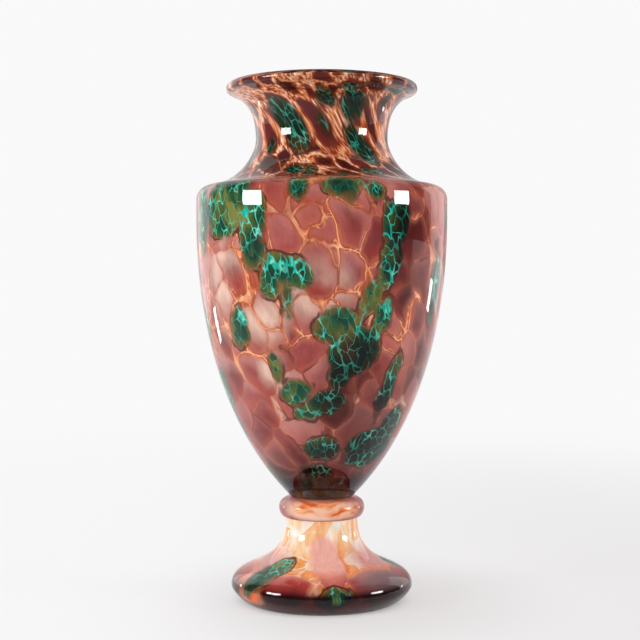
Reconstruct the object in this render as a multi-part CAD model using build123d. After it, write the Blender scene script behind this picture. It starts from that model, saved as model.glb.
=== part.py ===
from build123d import *
from math import cos, radians, sin, tan
import os

# Urn vase in cased, mottled glass. Its parts are worked apart and welded hot on one upright axis: a hollow
# bell foot, a bit of glass with a bead around it, a bowl, and a neck that flares to the lip. Foot, bowl and
# neck each have three layers: a clear casing outside, coloured glass under it, and a clear lining.
# Sizes are in millimetres. The origin is on the table, at the middle of the foot.

# Glass layers, from the outside in
CASING = 3.4
COLOUR = 1.0
LINING = 2.4

# Foot: a bell whose thick rim turns under to a ring that is ground flat
FOOT_HEIGHT = 58.0
FOOT_RADIUS = 63.3
RIM_HEIGHT = 11.5  # table to the widest level of the rim
RIM_UNDERCUT = 11.5  # how far the rim turns in below its widest level
RIM_TURN = 4.0  # how far the underside's curve keeps upright below the rim
GROUND_PULL = 3.0  # how far it keeps level beside the ground ring
GROUND_RING = 5.0  # width of the flat ring that stands on the table
STEM_RADIUS = 25.0
RIM_PULL = 18.5  # how far the bell's curve keeps upright above the rim
STEM_PULL = 37.3  # how far it keeps upright below the stem's top
HOLLOW_PULL = 12.0
HOLLOW_STEM_PULL = 28.0
HOLLOW_DOME = 9.0
CROWN = 8.0  # solid glass over the hollow

# Collar: a bead around the bit of glass that joins bowl and foot
COLLAR_HEIGHT = 14.5
COLLAR_PROUD = 5.0  # how far the bead stands out from the stem

# Bowl: rises from its seat, swells to the waist and turns in at a round shoulder
SEAT_ANGLE = 45.0  # lean of the wall where it leaves the seat, from upright
SEAT_PULL = 58.0
BELLY_HEIGHT = 194.0  # seat to waist
WAIST_PULL = 86.0
BOWL_RADIUS = 87.5
SIDE_HEIGHT = 20.5  # waist to the shoulder's corner
SHOULDER_ROUND = 9.5
SHOULDER_ROUND_INSIDE = 2.0  # least round left inside the corner
SHOULDER_SLOPE = 11.5  # degrees, rising towards the neck
SHOULDER_WIDTH = 12.5  # from the side of the bowl in to the weld with the neck
FLOOR = 7.0  # extra glass on the floor of the bowl
FLOOR_ROUND = 6.0

# Neck: a hollow curve from the shoulder to the throat, then a flare to the lip
ROOT_PULL = 18.0
THROAT_RISE = 32.2  # weld to throat
THROAT_RADIUS = 46.0
THROAT_PULL_DOWN = 10.5
THROAT_PULL_UP = 18.8
LIP_RISE = 31.7  # throat to the lip's edge
LIP_REACH = 18.4  # how far the lip's edge stands out from the throat
LIP_ANGLE = 19.0  # degrees, rise of the flare at the lip
LIP_PULL = 12.0

# Depths, radii and levels that follow from these
COLOUR_DEPTH = CASING
LINING_DEPTH = CASING + COLOUR
WALL = CASING + COLOUR + LINING
GROUND_RADIUS = FOOT_RADIUS - RIM_UNDERCUT
HOLLOW_RADIUS = GROUND_RADIUS - GROUND_RING
SEAT_RADIUS = STEM_RADIUS - CASING
COLLAR_RADIUS = STEM_RADIUS + COLLAR_PROUD
WELD_RADIUS = BOWL_RADIUS - SHOULDER_WIDTH
LIP_RADIUS = THROAT_RADIUS + LIP_REACH
COLLAR_LEVEL = FOOT_HEIGHT
BOWL_LEVEL = COLLAR_LEVEL + COLLAR_HEIGHT
WAIST_LEVEL = BOWL_LEVEL + BELLY_HEIGHT
CORNER_LEVEL = WAIST_LEVEL + SIDE_HEIGHT
SLOPE = radians(SHOULDER_SLOPE)
WELD_LEVEL = CORNER_LEVEL + SHOULDER_WIDTH * tan(SLOPE)
THROAT_LEVEL = WELD_LEVEL + THROAT_RISE
LIP_LEVEL = THROAT_LEVEL + LIP_RISE
QUARTER_ROUND = 0.5523  # handle of a curve that follows a quarter of an ellipse


def at(radius, level):
    return Vector(radius, 0, level)


def towards(angle):
    # unit step in the profile plane, angle in radians up from outwards
    return Vector(cos(angle), 0, sin(angle))


def inset(points, depth):
    # control points of a wall, each leg moved square to itself by depth towards the inside
    legs = [(b - a).normalized() for a, b in zip(points, points[1:])]
    sides = [Vector(-leg.Z, 0, leg.X) for leg in legs]
    moved = [points[0] + sides[0] * depth]
    for point, before, after in zip(points[1:], sides, sides[1:]):
        moved.append(point + (before + after) * (depth / (1 + before.dot(after))))
    return moved + [points[-1] + sides[-1] * depth]


def quarter(start, corner, end):
    # rounded quarter from start to end, bulging to corner
    first = start + (corner - start) * QUARTER_ROUND
    last = end + (corner - end) * QUARTER_ROUND
    return Bezier(start, first, last, end)


def on_axis(point):
    return at(0, point.Z)


def turned(edges):
    return revolve(make_face(edges), Axis.Z)


# Foot
ground = at(GROUND_RADIUS, 0)
rim = at(FOOT_RADIUS, RIM_HEIGHT)
stem_top = at(STEM_RADIUS, COLLAR_LEVEL)
underside = [ground, ground + at(GROUND_PULL, 0), rim - at(0, RIM_TURN), rim]
bell = [rim, rim + at(0, RIM_PULL), stem_top - at(0, STEM_PULL), stem_top]
hollow_edge = at(HOLLOW_RADIUS, 0)
hollow_foot = at(HOLLOW_RADIUS, CASING)
hollow_top = at(0, COLLAR_LEVEL - CROWN)
hollow_spring = at(STEM_RADIUS - WALL, hollow_top.Z - HOLLOW_DOME)
hollow_low = hollow_foot + at(0, HOLLOW_PULL)
hollow_high = hollow_spring - at(0, HOLLOW_STEM_PULL)
hollow = [hollow_foot, hollow_low, hollow_high, hollow_spring]


def foot_wall(depth):
    # the foot's wall at a depth, from over the ground ring, round the rim and up the bell
    under_points = inset(underside, depth)
    bell_points = inset(bell, depth)
    return [Bezier(*under_points), Bezier(*bell_points)], under_points[0], bell_points[-1]


def foot_casing():
    # the casing is folded in under the other two layers, as far as the hollow
    outer, ring, top_out = foot_wall(0)
    inner, fold, top_in = foot_wall(COLOUR_DEPTH)
    folded = [Line(fold, hollow_foot), Line(hollow_foot, hollow_edge), Line(hollow_edge, ring)]
    return turned(outer + inner + folded + [Line(top_out, top_in)])


def foot_colour():
    outer, fold_out, top_out = foot_wall(COLOUR_DEPTH)
    inner, fold_in, top_in = foot_wall(LINING_DEPTH)
    return turned(outer + inner + [Line(fold_out, fold_in), Line(top_out, top_in)])


def foot_lining():
    # it stands on the fold, inside the edge of the colour
    outer, fold, top = foot_wall(LINING_DEPTH)
    corner = at(fold.X, hollow_foot.Z)
    inside = [Bezier(*hollow), quarter(hollow_spring, at(hollow_spring.X, hollow_top.Z), hollow_top)]
    below = [Line(fold, corner), Line(corner, hollow_foot)]
    above = [Line(top, on_axis(top)), Line(on_axis(top), hollow_top)]
    return turned(outer + inside + below + above)


# Collar
seat = at(SEAT_RADIUS, BOWL_LEVEL)
seat_below = at(SEAT_RADIUS, COLLAR_LEVEL)


def collar_bead():
    widest = at(COLLAR_RADIUS, (COLLAR_LEVEL + BOWL_LEVEL) / 2)
    under = quarter(stem_top, at(COLLAR_RADIUS, COLLAR_LEVEL), widest)
    over = quarter(widest, at(COLLAR_RADIUS, BOWL_LEVEL), seat)
    return turned([under, over, Line(seat, seat_below), Line(seat_below, stem_top)])


def joining_bit():
    sides = [Line(on_axis(seat_below), seat_below), Line(seat_below, seat), Line(seat, on_axis(seat))]
    return turned(sides + [Line(on_axis(seat), on_axis(seat_below))])


# Bowl
weld = at(WELD_RADIUS, WELD_LEVEL)
slope_step = towards(radians(180) - SLOPE)
seat_step = towards(radians(90 - SEAT_ANGLE))
waist = at(BOWL_RADIUS, WAIST_LEVEL)
belly = [seat, seat + seat_step * SEAT_PULL, waist - at(0, WAIST_PULL), waist]
shoulder = [waist, at(BOWL_RADIUS, CORNER_LEVEL), weld]


def bowl_wall(depth):
    # the bowl's wall at a depth, from its floor to the weld
    belly_points = inset(belly, depth)
    shoulder_points = inset(shoulder, depth)
    bend = max(SHOULDER_ROUND - depth, SHOULDER_ROUND_INSIDE)
    wall = [Bezier(*belly_points), *FilletPolyline(*shoulder_points, radius=bend).edges()]
    return wall, belly_points[0], shoulder_points[-1]


def bowl_layer(outer_depth, inner_depth):
    outer, floor_out, weld_out = bowl_wall(outer_depth)
    inner, floor_in, weld_in = bowl_wall(inner_depth)
    floors = [Line(floor_out, on_axis(floor_out)), Line(floor_in, on_axis(floor_in))]
    ends = [Line(on_axis(floor_out), on_axis(floor_in)), Line(weld_out, weld_in)]
    return turned(outer + inner + floors + ends)


def bowl_lining():
    # a solid core less the cavity, whose floor is thicker than the wall
    outer, floor_out, weld_out = bowl_wall(LINING_DEPTH)
    inner, floor_in, weld_in = bowl_wall(WALL)
    lid = Line(weld_in, on_axis(weld_in))
    core_ends = [Line(floor_out, on_axis(floor_out)), Line(on_axis(floor_out), on_axis(weld_in))]
    core = turned(outer + [Line(weld_out, weld_in), lid] + core_ends)
    cavity_ends = [Line(floor_in, on_axis(floor_in)), Line(on_axis(floor_in), on_axis(weld_in))]
    cavity = turned(inner + [lid] + cavity_ends)
    cavity = split(cavity, Plane.XY.offset(floor_in.Z + FLOOR), keep=Keep.TOP)
    floor_edges = cavity.faces().sort_by(Axis.Z)[0].edges()
    return core - fillet(floor_edges, FLOOR_ROUND)


# Neck
throat = at(THROAT_RADIUS, THROAT_LEVEL)
lip = at(LIP_RADIUS, LIP_LEVEL)
lip_step = towards(radians(LIP_ANGLE))
root = [weld, weld + slope_step * ROOT_PULL, throat - at(0, THROAT_PULL_DOWN), throat]
flare = [throat, throat + at(0, THROAT_PULL_UP), lip - lip_step * LIP_PULL, lip]


def neck_wall(depth):
    # the neck's wall at a depth, from the weld to the lip
    root_points = inset(root, depth)
    flare_points = inset(flare, depth)
    return [Bezier(*root_points), Bezier(*flare_points)], root_points[0], flare_points[-1]


def neck_layer(outer_depth, inner_depth):
    outer, weld_out, lip_out = neck_wall(outer_depth)
    inner, weld_in, lip_in = neck_wall(inner_depth)
    return turned(outer + inner + [Line(weld_out, weld_in), Line(lip_out, lip_in)])


def neck_casing():
    # the casing runs round the lip's edge and closes over the other two layers
    outer, weld_out, lip_out = neck_wall(0)
    inner, weld_in, lip_in = neck_wall(COLOUR_DEPTH)
    lip_inside = inset(flare, WALL)[-1]
    nose = (lip_out + lip_inside) / 2 + lip_step * (WALL / 2)
    edge = [ThreePointArc(lip_out, nose, lip_inside), Line(lip_inside, lip_in)]
    return turned(outer + edge + inner + [Line(weld_out, weld_in)])


pieces = {
    "foot_casing": foot_casing(),
    "foot_colour": foot_colour(),
    "foot_lining": foot_lining(),
    "joining_bit": joining_bit(),
    "collar_bead": collar_bead(),
    "bowl_casing": bowl_layer(0, COLOUR_DEPTH),
    "bowl_colour": bowl_layer(COLOUR_DEPTH, LINING_DEPTH),
    "bowl_lining": bowl_lining(),
    "neck_casing": neck_casing(),
    "neck_colour": neck_layer(COLOUR_DEPTH, LINING_DEPTH),
    "neck_lining": neck_layer(LINING_DEPTH, WALL),
}

os.makedirs("parts", exist_ok=True)
for name, piece in pieces.items():
    export_step(piece, f"parts/{name}.step")
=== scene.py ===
from collections import namedtuple
from math import cos, pi, radians, sin, tan

import bmesh
import bpy
import numpy as np
from mathutils import Matrix, Vector
from mathutils.geometry import interpolate_bezier


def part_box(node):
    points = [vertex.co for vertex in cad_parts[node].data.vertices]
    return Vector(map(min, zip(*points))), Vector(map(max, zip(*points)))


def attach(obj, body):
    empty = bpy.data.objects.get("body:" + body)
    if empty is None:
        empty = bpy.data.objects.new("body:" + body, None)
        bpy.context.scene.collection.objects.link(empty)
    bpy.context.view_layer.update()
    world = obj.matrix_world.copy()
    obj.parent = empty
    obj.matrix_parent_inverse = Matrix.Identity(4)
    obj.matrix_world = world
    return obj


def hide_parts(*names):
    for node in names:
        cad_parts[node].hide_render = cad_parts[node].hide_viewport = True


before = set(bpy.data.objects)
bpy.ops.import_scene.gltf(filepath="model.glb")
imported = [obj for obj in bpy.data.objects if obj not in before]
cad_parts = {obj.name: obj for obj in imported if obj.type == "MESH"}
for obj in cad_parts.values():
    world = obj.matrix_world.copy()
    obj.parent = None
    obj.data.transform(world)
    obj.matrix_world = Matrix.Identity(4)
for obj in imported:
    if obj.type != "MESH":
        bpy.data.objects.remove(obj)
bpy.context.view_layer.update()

# Urn vase in cased, mottled glass on a plain pale floor. Foot, bowl and neck each have a clear casing, a
# layer of coloured glass and a clear lining, all turned on the upright axis. Lengths are in metres.
MM = 0.001


# Sizes read from the frame
def reach(node):
    # radius that stays inside the node's box on every side
    low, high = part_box(node)
    return min(high.x, high.y, -low.x, -low.y)


def top_of(node):
    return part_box(node)[1].z


FOOT_RADIUS = reach("foot_casing")
STEM_TOP = top_of("foot_casing")
CASING = FOOT_RADIUS - reach("foot_colour")
LINING_DEPTH = FOOT_RADIUS - reach("foot_lining")
COLLAR_RADIUS = reach("collar_bead")
SEAT_RADIUS = reach("joining_bit")
SEAT_LEVEL = top_of("joining_bit")
BOWL_RADIUS = reach("bowl_casing")
WELD_LEVEL = top_of("bowl_casing")
WELD_RADIUS = reach("neck_casing")

# Glass walls
LINING = 2.4 * MM
WALL = LINING_DEPTH + LINING
SKIN = 0.03 * MM  # hair's breadth kept between glass that is bonded

# Foot
STEM_RADIUS = SEAT_RADIUS + CASING
RIM_HEIGHT = 11.5 * MM
RIM_UNDERCUT = 11.5 * MM
RIM_TURN = 4 * MM
GROUND_PULL = 3 * MM
GROUND_RING = 5 * MM
RIM_PULL = 18.5 * MM
STEM_PULL = 37.3 * MM
HOLLOW_PULL = 12 * MM
HOLLOW_STEM_PULL = 28 * MM
HOLLOW_DOME = 9 * MM
CROWN = 8 * MM

# Bowl
SEAT_ANGLE = 45
SEAT_PULL = 58 * MM
WAIST_LEVEL = SEAT_LEVEL + 194 * MM
WAIST_PULL = 86 * MM
SHOULDER_ROUND = 9.5 * MM
SHOULDER_ROUND_INSIDE = 2 * MM
SHOULDER_SLOPE = 11.5
BOWL_FLOOR = 7 * MM
BOWL_FLOOR_ROUND = 6 * MM

# Neck
ROOT_PULL = 18 * MM
THROAT_LEVEL = WELD_LEVEL + 32.2 * MM
THROAT_RADIUS = 46 * MM
THROAT_PULL_DOWN = 10.5 * MM
THROAT_PULL_UP = 18.8 * MM
LIP_LEVEL = THROAT_LEVEL + 31.7 * MM
LIP_RADIUS = THROAT_RADIUS + 18.4 * MM
LIP_ANGLE = 19
LIP_PULL = 12 * MM

# Fineness of the turned meshes
TURN_STEPS = 192
CURVE_STEPS = 40
COLOUR_CURVE_STEPS = 80
FLOW_STEPS = 4 * CURVE_STEPS  # along the wall that places of colours are measured on
ROUND_STEPS = 12
CREASE = radians(40)
QUARTER_ROUND = 0.5523


# Outlines, in the plane of the axis
def at(radius, level):
    return Vector((radius, 0, level))


def towards(degrees):
    return Vector((cos(radians(degrees)), 0, sin(radians(degrees))))


def on_axis(point):
    return at(0, point.z)


def inset(points, depth):
    # control points of a wall, each leg moved square to itself by depth towards the inside
    legs = [(b - a).normalized() for a, b in zip(points, points[1:])]
    sides = [Vector((-leg.z, 0, leg.x)) for leg in legs]
    moved = [points[0] + sides[0] * depth]
    for point, before, after in zip(points[1:], sides, sides[1:]):
        moved.append(point + (before + after) * (depth / (1 + before.dot(after))))
    return moved + [points[-1] + sides[-1] * depth]


def curve(points, steps=CURVE_STEPS):
    return interpolate_bezier(*points, steps + 1)


def quarter(start, corner, end):
    # rounded quarter from start to end, bulging to corner
    first = start + (corner - start) * QUARTER_ROUND
    last = end + (corner - end) * QUARTER_ROUND
    return curve([start, first, last, end], ROUND_STEPS)


def rounded(before, corner, after, radius):
    # arc that takes off a corner
    back = (before - corner).normalized()
    ahead = (after - corner).normalized()
    turn = pi - back.angle(ahead)
    start = corner + back * radius * tan(turn / 2)
    end = corner + ahead * radius * tan(turn / 2)
    handle = 4 / 3 * tan(turn / 4) * radius
    return curve([start, start - back * handle, end - ahead * handle, end], ROUND_STEPS)


def spaced(start, end, steps):
    return [start.lerp(end, step / steps) for step in range(steps + 1)]


ground = at(FOOT_RADIUS - RIM_UNDERCUT, 0)
rim = at(FOOT_RADIUS, RIM_HEIGHT)
stem = at(STEM_RADIUS, STEM_TOP)
underside = [ground, ground + at(GROUND_PULL, 0), rim - at(0, RIM_TURN), rim]
bell = [rim, rim + at(0, RIM_PULL), stem - at(0, STEM_PULL), stem]
seat = at(SEAT_RADIUS, SEAT_LEVEL)
waist = at(BOWL_RADIUS, WAIST_LEVEL)
weld = at(WELD_RADIUS, WELD_LEVEL)
slope_step = towards(180 - SHOULDER_SLOPE)
corner_level = WELD_LEVEL - (BOWL_RADIUS - WELD_RADIUS) * tan(radians(SHOULDER_SLOPE))
belly = [seat, seat + towards(90 - SEAT_ANGLE) * SEAT_PULL, waist - at(0, WAIST_PULL), waist]
shoulder = [waist, at(BOWL_RADIUS, corner_level), weld]
throat = at(THROAT_RADIUS, THROAT_LEVEL)
lip = at(LIP_RADIUS, LIP_LEVEL)
lip_step = towards(LIP_ANGLE)
root = [weld, weld + slope_step * ROOT_PULL, throat - at(0, THROAT_PULL_DOWN), throat]
flare = [throat, throat + at(0, THROAT_PULL_UP), lip - lip_step * LIP_PULL, lip]


def foot_wall(depth, steps=CURVE_STEPS):
    # from over the ground ring, round the rim and up the bell
    return curve(inset(underside, depth), steps // 2) + curve(inset(bell, depth), steps)


def bowl_wall(depth, steps=CURVE_STEPS):
    # from the seat up to the weld with the neck
    side, corner, top = inset(shoulder, depth)
    bend = max(SHOULDER_ROUND - depth, SHOULDER_ROUND_INSIDE)
    return curve(inset(belly, depth), steps) + rounded(side, corner, top, bend) + [top]


def neck_wall(depth, steps=CURVE_STEPS):
    # from the weld up to the lip
    return curve(inset(root, depth), steps) + curve(inset(flare, depth), steps)


# Turning outlines into meshes. An outline is a list of runs; a bonded run lies against other glass.
Run = namedtuple("Run", "points bonded", defaults=(False,))


def turned(name, runs, finish, bond, ring=True):
    # the outline is a ring, or starts and ends on the axis; a quarter is spun and then copied round
    mesh = bmesh.new()
    bonded = mesh.verts.layers.int.new("bonded")
    verts = []
    for run in runs:
        for point in run.points:
            if not verts or (verts[-1].co - point).length > SKIN / 3:
                verts.append(mesh.verts.new(point))
            verts[-1][bonded] = verts[-1][bonded] or run.bonded
    if ring:
        verts[0][bonded] = verts[0][bonded] or verts[-1][bonded]
        mesh.verts.remove(verts.pop())
    pairs = list(zip(verts, verts[1:] + verts[:1] if ring else verts[1:]))
    edges = [mesh.edges.new(pair) for pair in pairs]
    bmesh.ops.spin(
        mesh, geom=verts + edges, cent=(0, 0, 0), axis=(0, 0, 1), angle=pi / 2, steps=TURN_STEPS // 4
    )
    for turn in (pi / 2, pi):
        copy = bmesh.ops.duplicate(mesh, geom=mesh.verts[:] + mesh.edges[:] + mesh.faces[:])
        moved = [part for part in copy["geom"] if isinstance(part, bmesh.types.BMVert)]
        bmesh.ops.rotate(mesh, verts=moved, cent=(0, 0, 0), matrix=Matrix.Rotation(turn, 3, "Z"))
    bmesh.ops.remove_doubles(mesh, verts=mesh.verts, dist=SKIN / 10)
    bmesh.ops.recalc_face_normals(mesh, faces=mesh.faces)
    for face in mesh.faces:
        face.smooth = True
        face.material_index = int(all(vert[bonded] for vert in face.verts))
    for edge in mesh.edges:
        edge.smooth = edge.calc_face_angle(0) < CREASE
    data = bpy.data.meshes.new(name)
    mesh.to_mesh(data)
    mesh.free()
    data.materials.append(finish)
    data.materials.append(bond)
    piece = bpy.data.objects.new(name, data)
    bpy.context.scene.collection.objects.link(piece)
    return piece


# Colour
def shade(red, green, blue):
    # a colour as it shows on a screen, 0 to 255, as the linear values that materials take
    def linear(part):
        part = part / 255
        return part / 12.92 if part <= 0.04045 else ((part + 0.055) / 1.055) ** 2.4

    return (linear(red), linear(green), linear(blue), 1)


MAROON = shade(92, 36, 34)
PLUM = shade(126, 48, 46)
MAUVE = shade(153, 65, 62)
ROSE = shade(179, 94, 88)
PINK = shade(201, 123, 114)
BRICK = shade(160, 58, 44)
LILAC = shade(190, 139, 134)
# milky glass, and painted light where light inside the vase shows through
MILK_AND_LIGHT = shade(230, 193, 173)
RUST = shade(164, 64, 28)
BURNT_ORANGE = shade(212, 98, 42)
APRICOT = shade(240, 156, 104)
PEACH = shade(250, 200, 160)
CREAM = shade(255, 236, 218)
UMBER = shade(78, 36, 20)
AMBER = shade(122, 92, 34)
BOTTLE_GREEN = shade(26, 50, 38)
DEEP_GREEN = shade(18, 76, 54)
LEAF_GREEN = shade(70, 92, 42)
OLIVE = shade(124, 124, 60)
TURQUOISE = shade(16, 176, 148)
PALE_AQUA = shade(134, 228, 210)
FLAME = shade(255, 116, 44)
SLATE = shade(120, 98, 100)
# tint of darker glass, and of the painted shade in the bowl's dark spots
DARK_AND_SHADE_TINT = shade(124, 78, 72)
# colour of the painted shade on the foot's rim and the bowl's base
PAINTED_SHADE_TINT = shade(72, 29, 27)
OXBLOOD = shade(114, 40, 42)
SALMON = shade(204, 118, 98)
SOOT = shade(40, 18, 16)
BLACK_CHERRY = shade(46, 18, 18)
GARNET = shade(92, 33, 33)
WINE = shade(116, 45, 46)
RUSSET = shade(104, 34, 24)
CLARET = shade(118, 28, 28)
CHERRY = shade(176, 66, 60)
CORAL = shade(222, 132, 116)
SHELL = shade(243, 178, 163)
DUSTY_PINK = shade(212, 143, 137)
TANGERINE = shade(236, 124, 58)
PUMPKIN = shade(240, 140, 74)
HONEY = shade(250, 165, 96)
STRAW = shade(255, 206, 153)
IVORY = shade(255, 230, 200)
SNOW = shade(255, 250, 244)
MARMALADE = shade(226, 118, 56)
MELON = shade(250, 176, 114)
BISQUE = shade(255, 222, 186)
BLUSH = shade(244, 222, 216)
VIOLET = shade(108, 52, 70)
PALE_GREY = shade(240, 239, 239)
WHITE = shade(255, 255, 255)


class Recipe:
    # short words for laying out the nodes of a material or of the world
    def __init__(self, owner):
        owner.use_nodes = True
        self.tree = owner.node_tree
        self.tree.nodes.clear()

    def put(self, kind, settings=None, **inputs):
        node = self.tree.nodes.new(kind)
        for key, value in (settings or {}).items():
            setattr(node, key, value)
        for key, value in inputs.items():
            self.feed(node.inputs[key.replace("_", " ")], value)
        return node

    def feed(self, socket, value):
        if isinstance(value, bpy.types.NodeSocket):
            self.tree.links.new(value, socket)
        else:
            socket.default_value = value

    def math(self, operation, first, second=0.0, clamp=False):
        node = self.put("ShaderNodeMath", {"operation": operation, "use_clamp": clamp})
        self.feed(node.inputs[0], first)
        self.feed(node.inputs[1], second)
        return node.outputs[0]

    def add(self, first, second):
        return self.math("ADD", first, second)

    def less(self, first, second):
        return self.math("SUBTRACT", first, second)

    def times(self, first, *others):
        for other in others:
            first = self.math("MULTIPLY", first, other)
        return first

    def vector(self, operation, first, second):
        node = self.put("ShaderNodeVectorMath", {"operation": operation})
        self.feed(node.inputs[0], first)
        self.feed(node.inputs[3 if operation == "SCALE" else 1], second)
        return node.outputs[0]

    def rise(self, value, low, high, start=0.0, end=1.0):
        # smooth step from start to end as value goes from low to high
        settings = {"interpolation_type": "SMOOTHSTEP"}
        limits = {"From_Min": low, "From_Max": high, "To_Min": start, "To_Max": end}
        return self.put("ShaderNodeMapRange", settings, Value=value, **limits).outputs[0]

    def blend(self, amount, first, second, way="MIX"):
        node = self.put("ShaderNodeMix", {"data_type": "RGBA", "blend_type": way})
        self.feed(node.inputs[0], amount)
        self.feed(node.inputs[6], first)
        self.feed(node.inputs[7], second)
        return node.outputs[2]

    def ramp(self, value, stops):
        node = self.put("ShaderNodeValToRGB", Fac=value)
        elements = node.color_ramp.elements
        while len(elements) < len(stops):
            elements.new(0.5)
        for element, (place, colour) in zip(elements, stops):
            element.position = place
            element.color = colour
        return node.outputs["Color"]

    def noise(self, place, scale, detail=2.0):
        return self.put("ShaderNodeTexNoise", Vector=place, Scale=scale, Detail=detail).outputs["Fac"]

    def cells(self, place, scale, feature="F1", loose=1.0):
        inputs = {"Vector": place, "Scale": scale, "Randomness": loose}
        return self.put("ShaderNodeTexVoronoi", {"feature": feature}, **inputs).outputs

    def drifted(self, place, scale, reach, detail=1.5):
        # place pushed about by a noise, by up to half of reach each way
        noise = self.put("ShaderNodeTexNoise", Vector=place, Scale=scale, Detail=detail)
        push = self.vector("SUBTRACT", noise.outputs["Color"], (0.5, 0.5, 0.5))
        return self.vector("ADD", place, self.vector("SCALE", push, reach))

    def attribute(self, name, output="Fac"):
        return self.put("ShaderNodeAttribute", {"attribute_name": name}).outputs[output]

    def height(self, place):
        return self.put("ShaderNodeSeparateXYZ", Vector=place).outputs["Z"]

    def parts(self, colour):
        return self.put("ShaderNodeSeparateColor", Color=colour).outputs

    def words(self):
        # the words that most recipes use, to be called without self
        return self.rise, self.blend, self.times, self.add, self.less

    def under_clear(self, colour):
        # coloured glass that lies under clear glass, so it has no gloss of its own
        matt = {"Roughness": 0.5, "Specular_IOR_Level": 0.0}
        glass = self.put("ShaderNodeBsdfPrincipled", Base_Color=colour, **matt)
        self.put("ShaderNodeOutputMaterial", Surface=glass.outputs[0])

    def mixed(self, amount, first, second):
        # a surface that goes over from the first shader to the second
        shader = self.put("ShaderNodeMixShader", Fac=amount)
        self.feed(shader.inputs[1], first.outputs[0])
        self.feed(shader.inputs[2], second.outputs[0])
        self.put("ShaderNodeOutputMaterial", Surface=shader.outputs[0])


# Finishes
GLASS_IOR = 1.5
RIPPLES_PER_METRE = 34
RIPPLE_DEPTH = 2 * MM


def bonded_face():
    # a face that lies against other glass, where light goes straight on
    material = bpy.data.materials.new("bonded_face")
    recipe = Recipe(material)
    clear = recipe.put("ShaderNodeBsdfTransparent")
    recipe.put("ShaderNodeOutputMaterial", Surface=clear.outputs[0])
    return material


def clear_glass(name, tint, ripple, edge_tint=None):
    # polished glass with a faint ripple from the blowing; lamps shine through it on the colour inside, and
    # an edge tint deepens it where it is seen edge on
    material = bpy.data.materials.new(name)
    recipe = Recipe(material)
    through = tint
    if edge_tint:
        facing = recipe.put("ShaderNodeLayerWeight").outputs["Facing"]
        tint = recipe.blend(recipe.rise(facing, 0.12, 0.6), tint, edge_tint)
    place = recipe.put("ShaderNodeTexCoord").outputs["Object"]
    waves = recipe.noise(place, RIPPLES_PER_METRE, 1.0)
    bump = recipe.put("ShaderNodeBump", Height=waves, Strength=ripple, Distance=RIPPLE_DEPTH)
    glass = recipe.put(
        "ShaderNodeBsdfPrincipled",
        Base_Color=tint,
        Roughness=0.0,
        IOR=GLASS_IOR,
        Transmission_Weight=1.0,
        Normal=bump.outputs[0],
    )
    path = recipe.put("ShaderNodeLightPath").outputs
    straight = recipe.math("MAXIMUM", path["Is Shadow Ray"], path["Is Diffuse Ray"])
    clear = recipe.put("ShaderNodeBsdfTransparent", Color=through)
    recipe.mixed(straight, glass, clear)
    return material


# Cells, crackle and streak are per metre; drift is in metres; corner, vein, flare and line are shares of a
# cell. Loose is how uneven the cells are, fire how much of a vein glows where the glass is cool, split how
# far a vein parts into fibres, and gloom how dim the greens are. The rest are colours, and whether rose
# ovals take the place of the veined cells.
Mottle = namedtuple(
    "Mottle",
    "cells loose corner crackle drift vein flare fire split line streak "
    "body deep low high haze veins gloom ovals",
)


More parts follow.
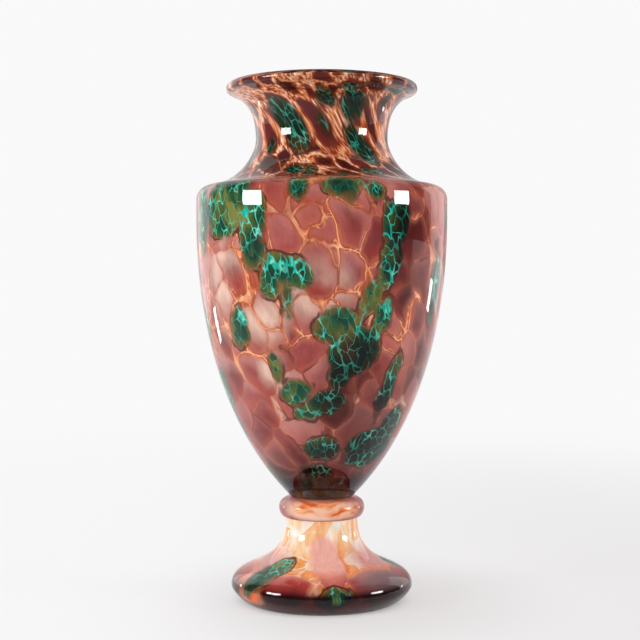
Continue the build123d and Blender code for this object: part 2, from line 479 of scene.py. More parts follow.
class MottleRecipe(Recipe):
    # chips of coloured glass melted together, laid out along the flow of the glass
    def __init__(self, material, look):
        super().__init__(material)
        self.look = look
        self.flow = self.attribute("flow", "Vector")
        self.glow = self.attribute("glow")
        self.dark = self.attribute("dark")
        self.milk = self.attribute("milk")
        self.calm = self.math("MAXIMUM", self.dark, self.attribute("calm"))
        self.place = self.drifted(self.drifted(self.flow, 26, look.drift), 75, look.drift * 0.55)
        self.cloud = self.noise(self.place, 62, 3.0)
        self.patch = self.noise(self.flow, 38)
        self.thread = self.noise(self.along(0.07), look.streak)
        self.warm = self.warmth()
        self.cell = self.cells(self.place, look.cells, loose=look.loose)
        self.pick = self.parts(self.cell["Color"])
        self.edge = self.seam()

    def along(self, share):
        # the place with its height shrunk, for noises that are drawn out along the wall
        return self.vector("MULTIPLY", self.place, (1.0, 1.0, share))

    def wave(self, scale, reach, detail=2.0):
        # a noise about zero
        return self.times(self.less(self.noise(self.flow, scale, detail), 0.5), reach)

    def warmth(self):
        # how fiery the seams are: most in the glowing spots, least in the dark and calm ones
        warm = self.math("ADD", self.glow, self.rise(self.patch, 0.4, 0.6, 0.2, 0.8), clamp=True)
        cooled = self.times(self.calm, self.less(1.0, self.glow), 0.85)
        return self.times(warm, self.less(1.0, cooled))

    def seam(self):
        # distance from the seam between cells, whose corners are rounded off
        look = self.look
        edge = self.cells(self.place, look.cells, "DISTANCE_TO_EDGE", look.loose)["Distance"]
        corner = self.less(look.corner, self.times(self.warm, 0.13))
        return self.math("MINIMUM", edge, self.times(self.less(corner, self.cell["Distance"]), 0.8))

    def rose_cells(self):
        # rose cells, redder towards their lower ends and greyer towards their upper ends
        rise, blend, times, add, less = self.words()
        look, cloud, pick = self.look, self.cloud, self.pick
        drop = times(less(self.height(self.cell["Position"]), self.height(self.place)), look.cells)
        body = self.ramp(add(times(pick["Red"], 0.85), add(0.06, less(cloud, 0.5))), look.body)
        body = blend(times(rise(self.cell["Distance"], 0.55, 0.05), pick["Blue"], 0.75), body, look.deep)
        body = blend(times(rise(drop, -0.1, 0.5), add(0.3, times(cloud, 0.6))), body, look.low)
        body = blend(times(rise(drop, 0.0, -0.5), pick["Green"], 0.8), body, look.high)
        # painted light: cells grow paler in the milk and light spots
        paler = times(self.milk, rise(add(pick["Green"], less(cloud, drop)), 0.1, 1.3))
        body = blend(paler, body, MILK_AND_LIGHT)
        # darker glass and painted shade in the dark spots
        body = blend(times(self.dark, add(0.6, times(pick["Blue"], 0.4))), body, DARK_AND_SHADE_TINT, "MULTIPLY")
        lit = add(0.15, times(self.warm, 0.55))
        body = blend(times(rise(self.edge, 0.0, 0.22, 1.0, 0.0), lit), body, look.haze)
        ember = times(rise(self.edge, 0.0, 0.07, 1.0, 0.0), lit)
        return blend(ember, body, blend(self.warm, look.low, RUST))

    def veined(self, colour):
        # veins, thin and pale where cells press together, wide and fiery where they part
        rise, blend, times, add, less = self.words()
        look, warm, edge, thread = self.look, self.warm, self.edge, self.thread
        even = 1.0 - look.split
        fray = less(thread, 0.5)
        parting = times(rise(self.cell["Distance"], 0.38, 0.8), add(self.glow, times(warm, 0.5)))
        width = add(times(look.vein, add(0.3, warm)), times(parting, look.flare))
        width = times(width, self.math("MAXIMUM", add(1.0, self.wave(90, even * 4.5)), 0.3))
        near = add(self.math("DIVIDE", edge, width), times(fray, even * 3.5))
        fire = self.ramp(add(rise(near, -2.0, 1.0, 0.75, 0.2), times(fray, 1.5)), look.veins)
        burning = add(look.fire, times(warm, 1.0 - look.fire))
        fibre = rise(thread, 0.38, 0.54, even, 1.0)
        colour = blend(times(rise(near, 0.2, 1.0, 1.0, 0.0), burning, fibre), colour, fire)

        # a wavy strand beside the vein, a pale line in it, and dark lines where cells are shut tight
        wavy = self.drifted(self.place, 130, 0.007)
        strand = self.cells(wavy, look.cells, "DISTANCE_TO_EDGE", look.loose)["Distance"]
        strand = times(rise(strand, 0.005, 0.03, 1.0, 0.0), rise(warm, 0.35, 0.8), rise(thread, 0.4, 0.55))
        colour = blend(strand, colour, APRICOT)
        line = rise(edge, look.line * 0.3, look.line, 1.0, 0.0)
        line = times(line, rise(self.cloud, 0.34, 0.6, 0.1, 0.8))
        colour = blend(times(line, add(0.04, warm)), colour, PEACH)
        tight = rise(self.noise(self.flow, 52), 0.40, 0.50, 1.0, 0.0)
        shut = times(rise(edge, 0.012, 0.05, 0.7, 0.0), tight, rise(parting, 0.02, 0.2, 1.0, 0.0))
        return blend(shut, colour, UMBER)

    def rose_ovals(self):
        # rose ovals in peach glass with white streaks
        rise, blend, times, add = self.rise, self.blend, self.times, self.add
        look = self.look
        level = self.height(self.flow)
        broad = self.noise(self.along(0.3), 120)
        peach = self.ramp(add(times(broad, 0.6), times(self.pick["Red"], 0.4)), look.veins)
        peach = blend(rise(level, 0.034, 0.012, 0.0, 0.8), peach, PUMPKIN)
        pale = times(rise(self.edge, 0.02, 0.10, 0.9, 0.0), rise(self.cloud, 0.36, 0.54))
        peach = blend(pale, peach, CREAM)
        # painted reflection: a pink haze where the foot's milk spots lie
        peach = blend(times(self.milk, 0.9), peach, look.haze)
        depth = add(self.attribute("rose"), self.wave(60, 0.010))
        oval = self.ramp(add(rise(level, 0.003, 0.028), self.wave(70, 0.45, 1.0)), look.body)
        oval = blend(times(self.dark, 0.85), oval, SLATE)
        colour = blend(rise(depth, -0.0016, 0.0026), peach, oval)
        ring = times(rise(depth, -0.0026, -0.0006), rise(depth, 0.0, 0.0022, 1.0, 0.0))
        colour = blend(times(ring, rise(self.patch, 0.4, 0.6, 0.1, 0.8)), colour, look.low)
        return blend(self.glow, colour, FLAME)

    def with_greens(self, colour):
        # green patches with their own fine turquoise net and a thin dark border
        rise, blend, times, add, less = self.words()
        look, cloud = self.look, self.cloud
        within = add(self.attribute("green"), self.wave(70, 0.012))
        fine = self.drifted(self.vector("MULTIPLY", self.flow, (1.0, 1.0, 0.8)), 150, 0.008)
        chip = self.cells(fine, look.crackle)
        crack = self.cells(fine, look.crackle, "DISTANCE_TO_EDGE")["Distance"]
        tone = add(times(self.parts(chip["Color"])["Red"], 0.5), add(0.15, times(less(cloud, 0.5), 2.0)))
        tone = add(tone, less(times(less(self.thread, 0.5), 0.5), 0.05))
        # greens grow lighter in the milk and light spots, partly as painted light
        tone = add(tone, times(self.milk, 0.35))
        leaf = self.ramp(tone, [(0.05, BOTTLE_GREEN), (0.4, DEEP_GREEN), (0.65, LEAF_GREEN), (0.95, OLIVE)])
        skirt = times(rise(within, 0.0, 0.0045, 1.0, 0.0), rise(self.patch, 0.35, 0.6, 0.2, 0.9))
        leaf = blend(skirt, leaf, AMBER)
        # greens dimmed in the dark spots, partly as painted shade, and all over in the darker neck glass
        leaf = blend(self.math("MAXIMUM", self.dark, look.gloom), leaf, DARK_AND_SHADE_TINT, "MULTIPLY")
        lit = rise(self.noise(self.flow, 65), 0.36, 0.62)
        spread = times(add(0.035, times(rise(chip["Distance"], 0.5, 0.9), 0.16)), add(0.4, times(lit, 0.7)))
        beside = self.math("DIVIDE", crack, spread)
        quiet = less(1.0 - 0.5 * look.gloom, times(self.calm, 0.45))
        spark = times(rise(beside, 0.35, 1.0, 1.0, 0.0), add(0.2, times(lit, 0.8)), quiet)
        pale = times(rise(beside, 0.0, 0.6, 1.0, 0.0), lit, rise(self.thread, 0.42, 0.58))
        leaf = blend(spark, leaf, blend(pale, TURQUOISE, PALE_AQUA))
        colour = blend(rise(within, -0.0008, 0.0014), colour, leaf)
        border = times(rise(within, -0.0017, -0.0006), rise(within, -0.0002, 0.0010, 1.0, 0.0))
        return blend(times(border, rise(cloud, 0.38, 0.56, 0.1, 0.9)), colour, UMBER)

    def shaded_and_uneven(self, colour):
        # painted shade: the shadow spots darken the foot's rim and the bowl's base, where the glass is
        # thick and little light falls; and no colour is quite even
        shadow = self.times(self.attribute("shadow"), self.math("SUBTRACT", 1.0, self.glow, clamp=True))
        colour = self.blend(shadow, colour, PAINTED_SHADE_TINT, "MULTIPLY")
        uneven = self.ramp(self.noise(self.along(0.35), 420), [(0.3, PALE_GREY), (0.7, WHITE)])
        return self.blend(1.0, colour, uneven, "MULTIPLY")


def mottled_glass(name, look):
    material = bpy.data.materials.new(name)
    recipe = MottleRecipe(material, look)
    colour = recipe.rose_ovals() if look.ovals else recipe.veined(recipe.rose_cells())
    recipe.under_clear(recipe.shaded_and_uneven(recipe.with_greens(colour)))
    return material


def joining_glass():
    # pale glass with streaks of orange and white around it
    material = bpy.data.materials.new("joining_glass")
    recipe = Recipe(material)
    place = recipe.put("ShaderNodeTexCoord").outputs["Object"]
    flat = recipe.vector("MULTIPLY", recipe.drifted(place, 60, 0.010), (1.0, 1.0, 5.0))
    streak = recipe.noise(flat, 62, 4.0)
    recipe.under_clear(recipe.ramp(streak, [(0.36, MARMALADE), (0.43, MELON), (0.5, BISQUE), (0.6, CREAM)]))
    return material


# Where the colours lie: turn in degrees from the front, to the right; the rest in millimetres, measured up
# the wall from the piece's lower end; lean in degrees, to the left at the top.
Spot = namedtuple("Spot", "turn along width length lean", defaults=(0,))

BOWL_GREEN = [
    Spot(-50, 211, 19, 21),
    Spot(-68, 206, 12, 22),
    Spot(-38, 214, 12, 14),
    Spot(-30, 208, 8, 14),
    Spot(-33, 188, 8, 19, 8),
    Spot(-16, 169, 18, 11, -12),
    Spot(-24, 163, 8, 13),
    Spot(-16, 153, 5, 11, 8),
    Spot(-44, 132, 9, 14),
    Spot(-25, 104, 4, 14, 8),
    Spot(9, 131, 17, 13, -20),
    Spot(17, 118, 18, 18, -10),
    Spot(28, 138, 7, 19, -20),
    Spot(10, 101, 8, 13, -10),
    Spot(35, 200, 11, 18),
    Spot(32, 174, 8, 22, -14),
    Spot(23, 150, 7, 16, -24),
    Spot(10, 224, 14, 8),
    Spot(12, 212, 3, 8),
    Spot(25, 220, 7, 8),
    Spot(-10, 224, 6, 8),
    Spot(-15, 89, 13, 9, 15),
    Spot(1, 80, 16, 9, 22),
    Spot(-1, 46, 13, 9),
    Spot(42, 46, 21, 16),
    Spot(54, 64, 10, 12, -20),
    Spot(40, 86, 6, 26, -8),
    Spot(66, 160, 6, 27),
    Spot(-6, 26, 10, 7),
]
BOWL_GREEN_BEHIND = [
    Spot(92, 208, 20, 16),
    Spot(104, 192, 11, 15, -10),
    Spot(108, 172, 10, 16),
    Spot(115, 150, 16, 13, -15),
    Spot(122, 134, 9, 12),
    Spot(86, 104, 11, 14, -15),
    Spot(95, 88, 13, 11),
    Spot(103, 70, 8, 14),
    Spot(112, 52, 15, 11),
    Spot(148, 218, 18, 9),
    Spot(158, 206, 8, 14),
    Spot(160, 186, 9, 16, 12),
    Spot(168, 168, 17, 12, -12),
    Spot(150, 118, 9, 16, 10),
    Spot(158, 100, 17, 13),
    Spot(170, 88, 9, 12),
    Spot(178, 72, 13, 10, 15),
    Spot(165, 42, 14, 10),
    Spot(180, 28, 9, 8),
    Spot(196, 212, 10, 12),
    Spot(203, 194, 14, 16),
    Spot(208, 172, 8, 18, -10),
    Spot(214, 150, 15, 13),
    Spot(224, 138, 9, 10),
    Spot(228, 118, 8, 14, 12),
    Spot(212, 72, 15, 12),
    Spot(222, 58, 9, 9),
    Spot(238, 84, 10, 14),
    Spot(246, 66, 14, 10, 15),
    Spot(250, 216, 18, 12),
    Spot(258, 196, 10, 14),
    Spot(262, 172, 9, 20, 8),
    Spot(270, 150, 14, 13, -20),
    Spot(280, 134, 8, 12),
    Spot(285, 88, 9, 14),
    Spot(280, 60, 10, 10),
]
# milky glass, with painted light in the middle of the front where light inside the vase shows, and a
# painted pale reflection at the left edge
BOWL_MILK_AND_LIGHT = [
    Spot(-4, 156, 34, 26),
    Spot(-39, 168, 14, 24),
    Spot(-27, 104, 13, 20),
    Spot(-30, 134, 22, 20),
    Spot(14, 124, 10, 22),
    Spot(-52, 165, 18, 50),
    Spot(-46, 210, 26, 22),
    Spot(125, 190, 35, 35),
    Spot(190, 140, 40, 30),
    Spot(245, 185, 30, 30),
]
# darker glass, and painted shade on the bowl's right side and round its base, where less light falls
BOWL_DARK_AND_SHADE = [
    Spot(32, 64, 46, 58),
    Spot(0, 14, 400, 40),
    Spot(64, 104, 24, 36),
    Spot(50, 172, 32, 62),
    Spot(16, 84, 28, 32),
    Spot(16, 114, 24, 26),
    Spot(44, 196, 24, 40),
    Spot(170, 60, 60, 40),
]
BOWL_CALM = [Spot(0, 62, 400, 74)]
# painted shade round the base of the bowl
BOWL_SHADOW = [Spot(0, 8, 400, 24)]
BOWL_GLOW = [
    Spot(12, 200, 12, 24),
    Spot(14, 153, 12, 12),
    Spot(5, 152, 14, 9),
    Spot(-40, 168, 18, 26),
    Spot(-10, 127, 12, 8),
    Spot(-38, 109, 12, 20),
    Spot(-28, 106, 9, 14),
    Spot(47, 144, 10, 28, -26),
    Spot(62, 186, 9, 26),
    Spot(-23, 220, 14, 7),
    Spot(44, 211, 10, 14),
    Spot(-70, 150, 14, 40),
    Spot(110, 140, 18, 30),
    Spot(140, 185, 18, 25),
    Spot(180, 105, 20, 25),
    Spot(215, 190, 16, 30),
    Spot(240, 135, 18, 30),
]
NECK_GREEN = [
    Spot(-29, 58, 10, 23, 32),
    Spot(3, 74, 6, 9, 35),
    Spot(27, 70, 9, 13, 20),
    Spot(0, 58, 4.5, 12, 22),
    Spot(34, 41, 8, 18, 25),
    Spot(22, 86, 7, 3),
    Spot(-48, 38, 4, 12),
    Spot(-18, 17, 6, 6),
    Spot(-8, 13, 4, 7),
    Spot(12, 10, 6, 5),
    Spot(32, 15, 7, 6, 20),
    Spot(59, 75, 4, 9),
    Spot(56, 87, 10, 4),
]
NECK_GREEN_BEHIND = [
    Spot(turn, along, 5 + along % 5, 9 + along % 7, 25)
    for turn, along in [(85, 45), (100, 72), (118, 30), (132, 62), (150, 45), (168, 75), (182, 25)]
    + [(196, 55), (212, 78), (226, 38), (243, 66), (258, 20), (272, 52), (288, 36)]
]
NECK_GLOW = [
    Spot(-58, 56, 26, 34),
    Spot(-66, 84, 22, 12),
    Spot(-24, 88, 62, 9),
    Spot(190, 88, 130, 9),
    Spot(-3, 31, 9, 14),
    Spot(19, 58, 6, 18, 25),
    Spot(100, 50, 15, 26),
    Spot(160, 60, 15, 26),
    Spot(215, 50, 15, 26),
    Spot(270, 72, 15, 16),
]
FOOT_GREEN = [
    Spot(-50, 27, 11, 20, -22),
    Spot(9, 12.5, 12, 6.5),
    Spot(100, 27, 9, 15, 25),
    Spot(168, 20, 12, 9),
    Spot(232, 28, 8, 15, -25),
]
FOOT_ROSE = [
    Spot(9, 38, 12.5, 20, 3),
    Spot(6, 46, 11, 21, 4),
    Spot(-25, 19, 19, 12.5),
    Spot(44, 20, 26, 15),
    Spot(-82, 20, 14, 12),
    Spot(82, 20, 16, 12),
    Spot(112, 21, 14, 13),
    Spot(128, 48, 8, 20),
    Spot(148, 19, 13, 12),
    Spot(168, 46, 9, 22),
    Spot(190, 20, 14, 12),
    Spot(205, 50, 7, 16),
    Spot(222, 21, 13, 12),
    Spot(246, 44, 8, 20),
    Spot(262, 19, 13, 12),
]
# painted reflection: a pink haze on the foot's flanks
FOOT_MILK_AND_REFLECTION = [
    Spot(-70, 35, 26, 26),
    Spot(66, 40, 24, 26),
    Spot(150, 40, 16, 20),
    Spot(225, 40, 16, 20),
]
# painted shade over the foot's rim and the band just above it
FOOT_SHADOW = [
    Spot(0, 0, 600, 22),
    Spot(0, 5, 600, 12),
]
FOOT_DARK = [Spot(50, 20, 32, 20)]
FOOT_GLOW = [Spot(-53, 10, 15, 7), Spot(10, 12.5, 5, 4)]


def spot_fields(turns, lengths, radii, spots):
    # for each spot, 1 at its middle and 0 at its edge
    fields = []
    for spot in spots:
        away = (turns - radians(spot.turn) + pi) % (2 * pi) - pi
        across = radii * away
        up = lengths - spot.along * MM
        lean = radians(spot.lean)
        x = (across * cos(lean) + up * sin(lean)) / (spot.width * MM)
        y = (up * cos(lean) - across * sin(lean)) / (spot.length * MM)
        fields.append(1 - np.hypot(x, y))
    return fields


# How the colours are drawn out: twist in radians for each metre up the wall, and stretch along the wall
FOOT_TWIST, FOOT_STRETCH = 0, 1.7
BOWL_TWIST, BOWL_STRETCH = 2.0, 1.35
NECK_TWIST, NECK_STRETCH = 11.0, 2.9

PATCHES = ("green", "rose")
TINTS = ("milk", "dark", "calm", "glow", "shadow")
TINT_GAIN = 1.6  # so that a tint is full before the middle of its spot
BATCH = 4000  # vertices matched to the wall at a time


def lay_colours(piece, wall, twist, stretch, **spots_by_name):
    # gives a colour layer its flow, drawn out along the wall and twisted about the axis, its green and rose
    # patches, as how deep inside the nearest spot each place lies, and its tints, as soft amounts
    data = piece.data
    count = len(data.vertices)
    places = np.empty(count * 3, np.float32)
    data.vertices.foreach_get("co", places)
    places = places.reshape(-1, 3).astype(float)
    radii = np.hypot(places[:, 0], places[:, 1])
    turns = np.arctan2(places[:, 0], -places[:, 1])
    line = np.array([(point.x, point.z) for point in wall])
    marks = np.concatenate([[0], np.cumsum(np.hypot(*np.diff(line, axis=0).T))])
    nearest = np.empty(count, int)
    for start in range(0, count, BATCH):
        part = np.s_[start:start + BATCH]
        gaps = (radii[part, None] - line[None, :, 0]) ** 2 + (places[part, 2, None] - line[None, :, 1]) ** 2
        nearest[part] = gaps.argmin(1)
    lengths = marks[nearest]
    swirl = turns + twist * lengths
    flow = np.stack([radii * np.sin(swirl), -radii * np.cos(swirl), lengths / stretch], 1)
    layer = data.attributes.new("flow", "FLOAT_VECTOR", "POINT")
    layer.data.foreach_set("vector", flow.astype(np.float32).ravel())
    for name in PATCHES + TINTS:
        spots = spots_by_name.get(name, [])
        fields = spot_fields(turns, lengths, radii, spots)
        if name in PATCHES:
            amounts = np.full(count, -1.0)
            for field, spot in zip(fields, spots):
                amounts = np.maximum(amounts, field * min(spot.width, spot.length) * MM)
        else:
            total = sum((np.clip(field, 0, 1) for field in fields), np.zeros(count))
            amounts = np.clip(TINT_GAIN * total, 0, 1)
        layer = data.attributes.new(name, "FLOAT", "POINT")
        layer.data.foreach_set("value", amounts.astype(np.float32))


def belongs(piece, node):
    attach(piece, "root")
    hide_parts(node)


# Materials
CASING_TINT = (0.985, 0.99, 0.988, 1)
LINING_TINT = (0.985, 0.985, 0.985, 1)
BOWL_LOOK = Mottle(
    cells=52,
    loose=0.85,
    corner=0.88,
    crackle=185,
    drift=0.014,
    vein=0.045,
    flare=0.09,
    fire=0.3,
    split=0.3,
    line=0.018,
    streak=420,
    body=[(0.05, PLUM), (0.3, MAUVE), (0.65, ROSE), (1.0, PINK)],
    deep=OXBLOOD,
    low=BRICK,
    high=LILAC,
    haze=SALMON,
    veins=[(0.18, RUST), (0.44, BURNT_ORANGE), (0.68, APRICOT), (0.92, CREAM)],
    gloom=0.0,
    ovals=False,
)
NECK_LOOK = BOWL_LOOK._replace(
    cells=72,
    loose=1.0,
    corner=1.5,
    crackle=270,
    drift=0.010,
    vein=0.15,
    flare=0.6,
    fire=0.9,
    split=0.85,
    line=0.025,
    streak=520,
    body=[(0.1, BLACK_CHERRY), (0.5, GARNET), (0.85, WINE), (1.0, PLUM)],
    deep=SOOT,
    low=RUSSET,
    high=MAROON,
    haze=RUST,
    veins=[(0.06, RUST), (0.22, BURNT_ORANGE), (0.38, APRICOT), (0.56, CREAM)],
    gloom=0.85,
)
FOOT_LOOK = BOWL_LOOK._replace(
    cells=95,
    loose=1.0,
    corner=1.5,
    body=[(0.0, CLARET), (0.32, CHERRY), (0.64, CORAL), (0.95, SHELL)],
    low=TANGERINE,
    haze=DUSTY_PINK,
    veins=[(0.28, HONEY), (0.42, STRAW), (0.56, IVORY), (0.70, SNOW)],
    ovals=True,
)
bond = bonded_face()
casing = clear_glass("clear_casing", CASING_TINT, 0.05)
lining = clear_glass("clear_lining", LINING_TINT, 0.08)
collar_finish = clear_glass("collar_glass", BLUSH, 0.08, edge_tint=VIOLET)
bowl_finish = mottled_glass("bowl_mottle", BOWL_LOOK)
neck_finish = mottled_glass("neck_mottle", NECK_LOOK)
foot_finish = mottled_glass("foot_mottle", FOOT_LOOK)
joining_finish = joining_glass()


# Foot
hollow_edge = at(ground.x - GROUND_RING, 0)
hollow_foot = at(hollow_edge.x, CASING)


def foot_casing():
    # folded in under the other two layers, as far as the hollow
    outer = foot_wall(0)
    inner = foot_wall(CASING)
    runs = [
        Run(spaced(hollow_foot, hollow_edge, 3)),
        Run(spaced(hollow_edge, ground, 4) + outer),
        Run([stem, inner[-1]], True),
        Run(inner[::-1] + [hollow_foot], True),
    ]
    return turned("foot_casing_glass", runs, casing, bond)


def foot_colour():
    outer = foot_wall(CASING + SKIN, COLOUR_CURVE_STEPS)
    inner = foot_wall(LINING_DEPTH - SKIN)
    piece = turned("foot_colour_glass", [Run(outer + inner[::-1] + outer[:1])], foot_finish, bond)
    lay_colours(
        piece,
        foot_wall(CASING, FLOW_STEPS),
        FOOT_TWIST,
        FOOT_STRETCH,
        green=FOOT_GREEN,
        rose=FOOT_ROSE,
        milk=FOOT_MILK_AND_REFLECTION,
        dark=FOOT_DARK,
        glow=FOOT_GLOW,
        shadow=FOOT_SHADOW,
    )
    return piece


def foot_lining():
    hollow_top = at(0, STEM_TOP - CROWN)
    spring = at(STEM_RADIUS - WALL, hollow_top.z - HOLLOW_DOME)
    rising = hollow_foot + at(0, HOLLOW_PULL)
    hollow = curve([hollow_foot, rising, spring - at(0, HOLLOW_STEM_PULL), spring])
    dome = quarter(spring, at(spring.x, hollow_top.z), hollow_top)
    outer = foot_wall(LINING_DEPTH)
    corner = at(outer[0].x, hollow_foot.z)
    runs = [
        Run((hollow + dome)[::-1]),
        Run([hollow_foot, corner] + outer + [on_axis(outer[-1])], True),
    ]
    return turned("foot_lining_glass", runs, lining, bond, ring=False)


# Collar
def collar_bead():
    widest = at(COLLAR_RADIUS, (STEM_TOP + SEAT_LEVEL) / 2)
    under = quarter(stem, at(COLLAR_RADIUS, STEM_TOP), widest)
    over = quarter(widest, at(COLLAR_RADIUS, SEAT_LEVEL), seat)
    runs = [
        Run(under + over),
        Run([seat, at(SEAT_RADIUS, STEM_TOP), stem], True),
    ]
    return turned("collar_bead_glass", runs, collar_finish, bond)


def joining_bit():
    low = at(SEAT_RADIUS - SKIN, STEM_TOP + SKIN)
    high = at(SEAT_RADIUS - SKIN, SEAT_LEVEL - SKIN)
    runs = [Run([on_axis(low)] + spaced(low, high, 16) + [on_axis(high)])]
    return turned("joining_bit_glass", runs, joining_finish, bond, ring=False)


# Bowl
def bowl_casing():
    outer = bowl_wall(0)
    inner = bowl_wall(CASING)
    runs = [
        Run([on_axis(outer[0]), outer[0]], True),
        Run(outer),
        Run([outer[-1]] + inner[::-1] + [on_axis(inner[0])], True),
    ]
    return turned("bowl_casing_glass", runs, casing, bond, ring=False)


def bowl_colour():
    outer = bowl_wall(CASING + SKIN, COLOUR_CURVE_STEPS)
    inner = bowl_wall(LINING_DEPTH - SKIN)
    points = [on_axis(outer[0])] + outer + inner[::-1] + [on_axis(inner[0])]
    piece = turned("bowl_colour_glass", [Run(points)], bowl_finish, bond, ring=False)
    lay_colours(
        piece,
        bowl_wall(CASING, FLOW_STEPS),
        BOWL_TWIST,
        BOWL_STRETCH,
        green=BOWL_GREEN + BOWL_GREEN_BEHIND,
        milk=BOWL_MILK_AND_LIGHT,
        dark=BOWL_DARK_AND_SHADE,
        calm=BOWL_CALM,
        glow=BOWL_GLOW,
        shadow=BOWL_SHADOW,
    )
    return piece


def bowl_lining():
    outer = bowl_wall(LINING_DEPTH)
    cavity = bowl_wall(WALL)
    floor_level = cavity[0].z + BOWL_FLOOR
    wall = [point for point in cavity if point.z > floor_level + BOWL_FLOOR_ROUND]
    foot = next(point for point in cavity if point.z > floor_level)
    corner = at(foot.x, floor_level)
    floor = rounded(on_axis(corner), corner, wall[0], BOWL_FLOOR_ROUND)
    runs = [
        Run(spaced(on_axis(corner), floor[0], 6) + floor + wall),
        Run([cavity[-1]] + outer[::-1] + [on_axis(outer[0])], True),
    ]
    return turned("bowl_lining_glass", runs, lining, bond, ring=False)


# Neck
def neck_casing():
    outer = neck_wall(0)
    inner = neck_wall(CASING)
    lip_inside = inset(flare, WALL)[-1]
    over = lip_step * (WALL / 2)
    nose = (lip + lip_inside) / 2 + over
    edge = quarter(lip, lip + over, nose) + quarter(nose, lip_inside + over, lip_inside)
    runs = [
        Run(outer + edge),
        Run([lip_inside] + inner[::-1] + [outer[0]], True),
    ]
    return turned("neck_casing_glass", runs, casing, bond)


def neck_colour():
    outer = neck_wall(CASING + SKIN, COLOUR_CURVE_STEPS)
    inner = neck_wall(LINING_DEPTH - SKIN)
    piece = turned("neck_colour_glass", [Run(outer + inner[::-1] + outer[:1])], neck_finish, bond)
    lay_colours(
        piece,
        neck_wall(CASING, FLOW_STEPS),
        NECK_TWIST,
        NECK_STRETCH,
        green=NECK_GREEN + NECK_GREEN_BEHIND,
        glow=NECK_GLOW,
    )
    return piece


def neck_lining():
    outer = neck_wall(LINING_DEPTH)
    inner = neck_wall(WALL)
    runs = [
        Run(inner[::-1]),
        Run([inner[0]] + outer + [inner[-1]], True),
    ]
    return turned("neck_lining_glass", runs, lining, bond)


belongs(foot_casing(), "foot_casing")
belongs(foot_colour(), "foot_colour")
belongs(foot_lining(), "foot_lining")
belongs(collar_bead(), "collar_bead")
belongs(joining_bit(), "joining_bit")
belongs(bowl_casing(), "bowl_casing")
belongs(bowl_colour(), "bowl_colour")
belongs(bowl_lining(), "bowl_lining")
belongs(neck_casing(), "neck_casing")
belongs(neck_colour(), "neck_colour")
belongs(neck_lining(), "neck_lining")

# Stage
BACKDROP = (0.955, 0.95, 0.958, 1)
FLOOR_WIDTH = 60
FLOOR_GLOW = 0.82  # share of the floor near the vase that shows at its own colour whatever falls on it
FLOOR_PAINT = (0.86, 0.855, 0.86, 1)
# colours of the painted shadows on the floor, to the right of the vase and around its foot
FLOOR_SHADOW_RIGHT = (0.835, 0.82, 0.825, 1)
FLOOR_SHADOW_UNDER = (0.72, 0.68, 0.675, 1)
COVE_LEFT = (0.84, 0.84, 0.84, 1)
COVE_RIGHT = (0.50, 0.50, 0.51, 1)
ROOM = (0.12, 0.12, 0.125, 1)
AMBIENT = (0.70, 0.70, 0.71, 1)
LAMP_TARGET = Vector((0, 0, 0.2))


def floor_finish():
    # nearly white all over, with a painted shadow to the right of the vase and a darker painted shadow
    # around its foot
    material = bpy.data.materials.new("pale_floor")
    recipe = Recipe(material)
    rise, blend, times, add, less = recipe.words()
    place = recipe.put("ShaderNodeTexCoord").outputs["Object"]
    path = recipe.put("ShaderNodeLightPath").outputs
    side = recipe.put("ShaderNodeSeparateXYZ", Vector=place).outputs
    gap = recipe.put("ShaderNodeVectorMath", {"operation": "LENGTH"}, Vector=place).outputs["Value"]
    seen = recipe.math("MAXIMUM", path["Is Camera Ray"], path["Is Glossy Ray"])
    seen = recipe.math("MAXIMUM", seen, path["Is Transmission Ray"])
    glow = times(rise(gap, 0.25, 1.6, FLOOR_GLOW, 1.0), rise(gap, 0.045, 0.068))
    # painted shadow to the right of the vase
    dim = times(rise(side["X"], -0.2, 0.3), rise(gap, 1.2, 0.2))
    # painted shadow around the foot
    under = times(rise(gap, 0.20, 0.06, 0.0, 0.75), rise(side["X"], -0.13, 0.0, 0.2, 1.0))
    white = blend(under, blend(dim, BACKDROP, FLOOR_SHADOW_RIGHT), FLOOR_SHADOW_UNDER)
    front = rise(side["Y"], 0.1, -0.25, 1.0, 0.3)
    level = add(1.0, times(path["Is Glossy Ray"], less(front, 1.0)))
    paint = recipe.put("ShaderNodeBsdfDiffuse", Color=FLOOR_PAINT)
    light = recipe.put("ShaderNodeEmission", Color=white, Strength=level)
    recipe.mixed(times(seen, glow), paint, light)
    return material


def floor():
    mesh = bmesh.new()
    bmesh.ops.create_grid(mesh, x_segments=2, y_segments=2, size=FLOOR_WIDTH / 2)
    data = bpy.data.meshes.new("floor")
    mesh.to_mesh(data)
    mesh.free()
    data.materials.append(floor_finish())
    piece = bpy.data.objects.new("floor", data)
    bpy.context.scene.collection.objects.link(piece)


def studio():
    # white cove behind, dim room in front, soft light from all round
    world = bpy.data.worlds.new("studio")
    bpy.context.scene.world = world
    recipe = Recipe(world)
    path = recipe.put("ShaderNodeLightPath").outputs
    direction = recipe.put("ShaderNodeTexCoord").outputs["Generated"]
    plan = recipe.vector("MULTIPLY", direction, (1.0, 1.0, 0.0))
    plan = recipe.put("ShaderNodeVectorMath", {"operation": "NORMALIZE"}, Vector=plan).outputs[0]
    side = recipe.put("ShaderNodeSeparateXYZ", Vector=plan).outputs
    cove = recipe.blend(recipe.rise(side["X"], -0.3, 0.3), COVE_LEFT, COVE_RIGHT)
    mirrored = recipe.blend(recipe.rise(side["Y"], 0.42, 0.46), ROOM, cove)
    seen = recipe.math("MAXIMUM", path["Is Camera Ray"], path["Is Transmission Ray"])
    colour = recipe.blend(path["Is Glossy Ray"], AMBIENT, mirrored)
    colour = recipe.blend(seen, colour, BACKDROP)
    background = recipe.put("ShaderNodeBackground", Color=colour, Strength=1.0)
    recipe.put("ShaderNodeOutputWorld", Surface=background.outputs[0])


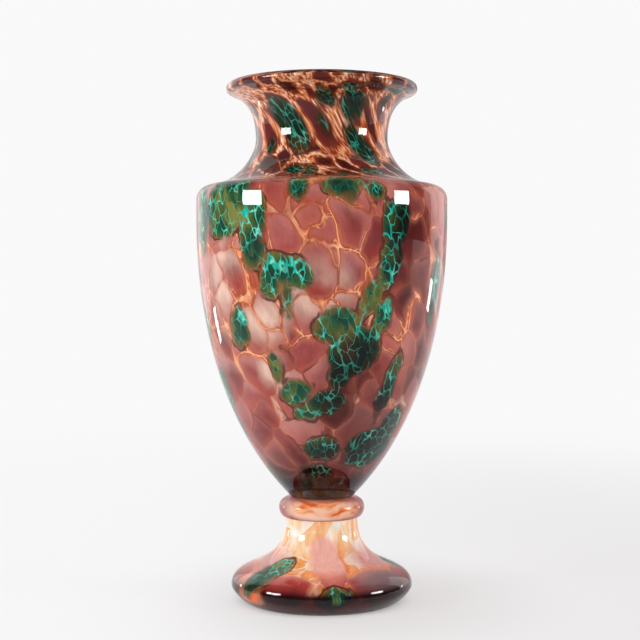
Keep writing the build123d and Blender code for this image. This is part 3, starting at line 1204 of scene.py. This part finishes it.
def softbox(name, turn, distance, level, width, height, radiance, only_mirrored=False):
    # a lit panel that faces the vase; turn in degrees from the camera's side, to the right; one that is
    # only mirrored sheds no light on what is matt
    data = bpy.data.lights.new(name, "AREA")
    data.shape = "RECTANGLE"
    data.size = width
    data.size_y = height
    data.energy = radiance * pi * width * height
    lamp = bpy.data.objects.new(name, data)
    lamp.location = (distance * sin(radians(turn)), -distance * cos(radians(turn)), level)
    lamp.rotation_euler = (LAMP_TARGET - lamp.location).to_track_quat("-Z", "Y").to_euler()
    lamp.visible_camera = False
    lamp.visible_diffuse = not only_mirrored
    bpy.context.scene.collection.objects.link(lamp)


def snoot(name, place, target, spread, power):
    # a narrow soft lamp that shows no glint in the glass
    data = bpy.data.lights.new(name, "SPOT")
    data.spot_size = radians(spread)
    data.spot_blend = 1.0
    data.shadow_soft_size = 0.15
    data.energy = power
    lamp = bpy.data.objects.new(name, data)
    lamp.location = place
    lamp.rotation_euler = (target - lamp.location).to_track_quat("-Z", "Y").to_euler()
    lamp.visible_camera = False
    lamp.visible_glossy = False
    lamp.visible_transmission = False
    bpy.context.scene.collection.objects.link(lamp)


# Camera, fitted to the outline of the vase
SENSOR_WIDTH = 36
LENS = 74.76
EYE = (-0.0012, -0.9311, 0.2095)
TILT = 0.853  # degrees down from level


def camera():
    data = bpy.data.cameras.new("camera")
    data.sensor_width = SENSOR_WIDTH
    data.lens = LENS
    eye = bpy.data.objects.new("camera", data)
    eye.location = EYE
    eye.rotation_euler = (radians(90 - TILT), 0, 0)
    bpy.context.scene.collection.objects.link(eye)
    bpy.context.scene.camera = eye


floor()
studio()
snoot("foot_snoot", Vector((-0.25, -0.95, 0.6)), Vector((0, 0, 0.045)), spread=11, power=9)
softbox("left_softbox", turn=-63.5, distance=1.6, level=0.56, width=0.55, height=0.32, radiance=22)
softbox("right_softbox", turn=74.5, distance=1.6, level=0.55, width=0.46, height=0.29, radiance=22)
card = {"radiance": 9, "only_mirrored": True}
softbox("left_card", turn=-120, distance=0.6, level=0.09, width=0.05, height=0.075, **card)
softbox("right_card", turn=119, distance=0.9, level=0.114, width=0.08, height=0.085, **card)
rear_panel = {"distance": 1.7, "level": 0.6, "width": 1.0, "height": 1.2, "radiance": 0.75}
softbox("left_rear_panel", turn=-137, **rear_panel)
softbox("right_rear_panel", turn=130, **rear_panel)
camera()
bpy.context.scene.view_settings.view_transform = "Standard"

bpy.context.view_layer.update()
